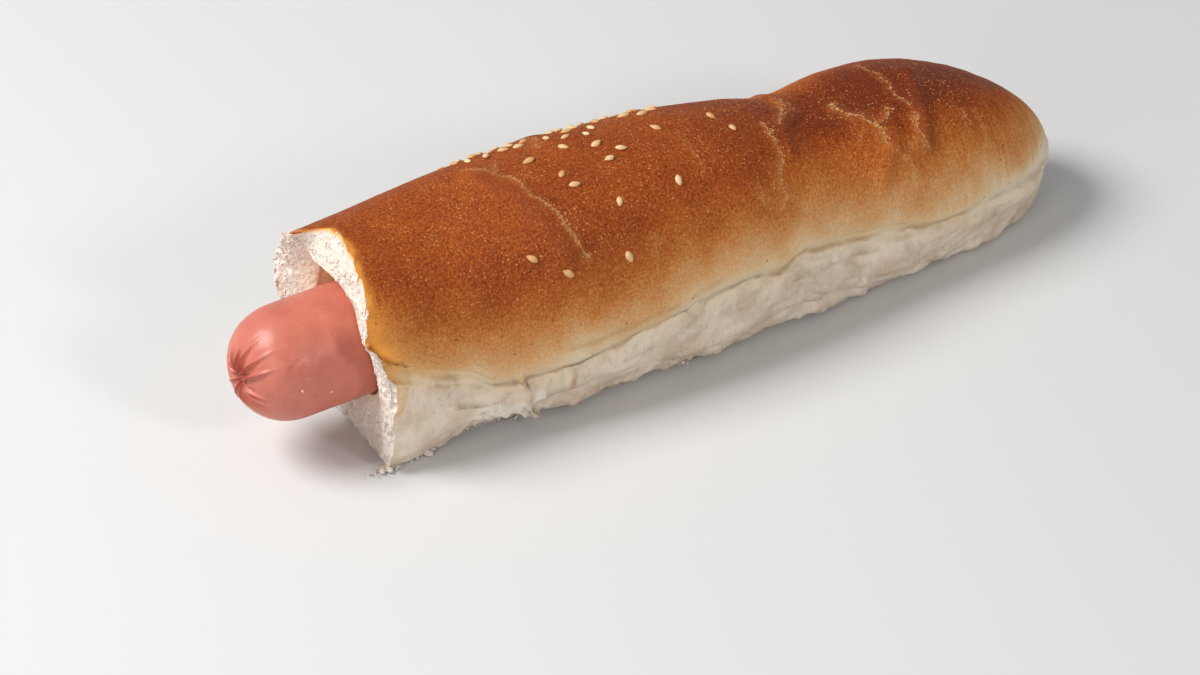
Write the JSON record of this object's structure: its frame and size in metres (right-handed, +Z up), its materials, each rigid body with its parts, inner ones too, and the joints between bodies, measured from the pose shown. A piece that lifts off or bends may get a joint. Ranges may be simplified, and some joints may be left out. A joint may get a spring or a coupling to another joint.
{
  "type": "hot dog",
  "caption": "Long soft browned bun with a closed round end and a torn open end, and a smooth pink sausage standing out of the pocket in it.",
  "frame": {"origin": "under the middle of the whole, on the flat base that the bun rests on", "axes": "+X along the bun, from the torn end with the sausage to the closed end; +Z up"},
  "size_m": [0.2228, 0.0592, 0.0526],
  "materials": {
    "bun_crust": "soft browned crust, satin on the crest and matte at the base",
    "sausage_skin": "moist smooth skin with a soft gloss"
  },
  "bodies": {
    "root": {"bun": "bun_crust", "sausage": "sausage_skin"}
  },
  "joints": []
}
